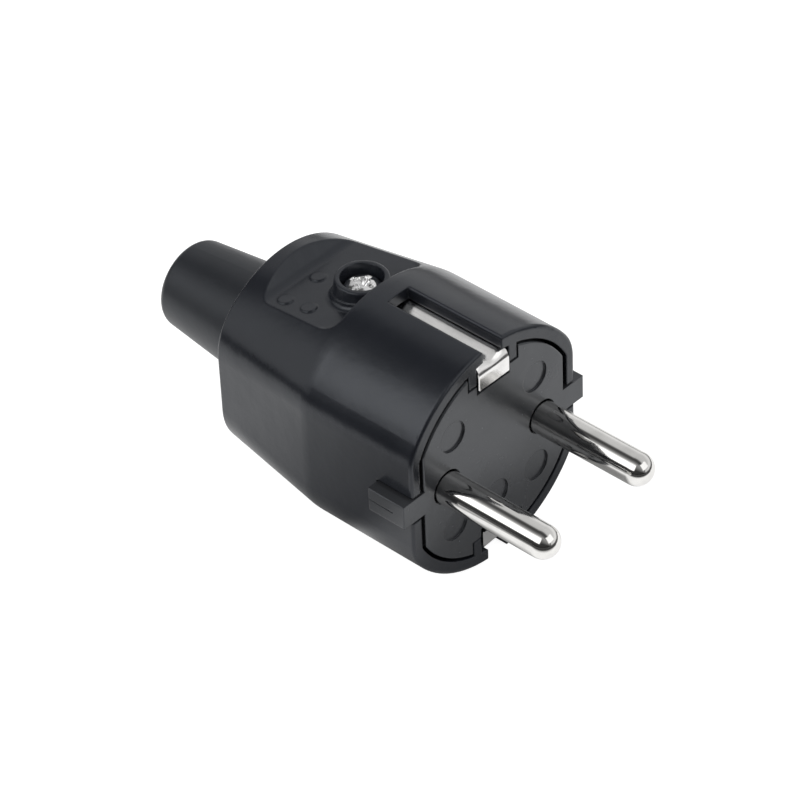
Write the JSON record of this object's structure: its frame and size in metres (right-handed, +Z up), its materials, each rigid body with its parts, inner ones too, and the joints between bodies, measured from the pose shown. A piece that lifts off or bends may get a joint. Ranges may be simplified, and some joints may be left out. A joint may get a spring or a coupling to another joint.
{
  "type": "electrical plug",
  "caption": "Rewireable earthed mains plug with round pins, a hollow hood slotted over its side earth contacts, a sunk screw boss and a tapered cable sleeve.",
  "frame": {"origin": "middle of the round face that meets the socket, halfway between the pins", "axes": "+X the way the pins point, +Y from the middle towards the left pin seen from behind with the hood screw up, +Z up towards the hood screw"},
  "size_m": [0.0766, 0.0362, 0.0366],
  "materials": {
    "hood_plastic": "satin black moulding",
    "block_plastic": "satin black moulding",
    "sleeve_plastic": "satin black, slightly soft",
    "pin_plate": "bright nickel plate",
    "strap_plate": "bright nickel plate, rolled strip",
    "hood_screw_plate": "bright zinc plate",
    "screw_steel": "zinc plate",
    "terminal_brass": "turned, bare"
  },
  "bodies": {
    "root": {"hood": "hood_plastic", "contact_block": "block_plastic", "cord_clamp": "block_plastic", "cable_sleeve": "sleeve_plastic", "pin_left": "pin_plate", "pin_right": "pin_plate", "earth_strap": "strap_plate", "earth_bush": "terminal_brass", "earth_washer": "screw_steel", "earth_screw": "screw_steel", "hood_screw": "hood_screw_plate", "hood_nut": "screw_steel", "terminal_screw_left": "screw_steel", "terminal_screw_right": "screw_steel", "clamp_screw_left": "screw_steel", "clamp_screw_right": "screw_steel", "clamp_nut_left": "screw_steel", "clamp_nut_right": "screw_steel"}
  },
  "joints": []
}
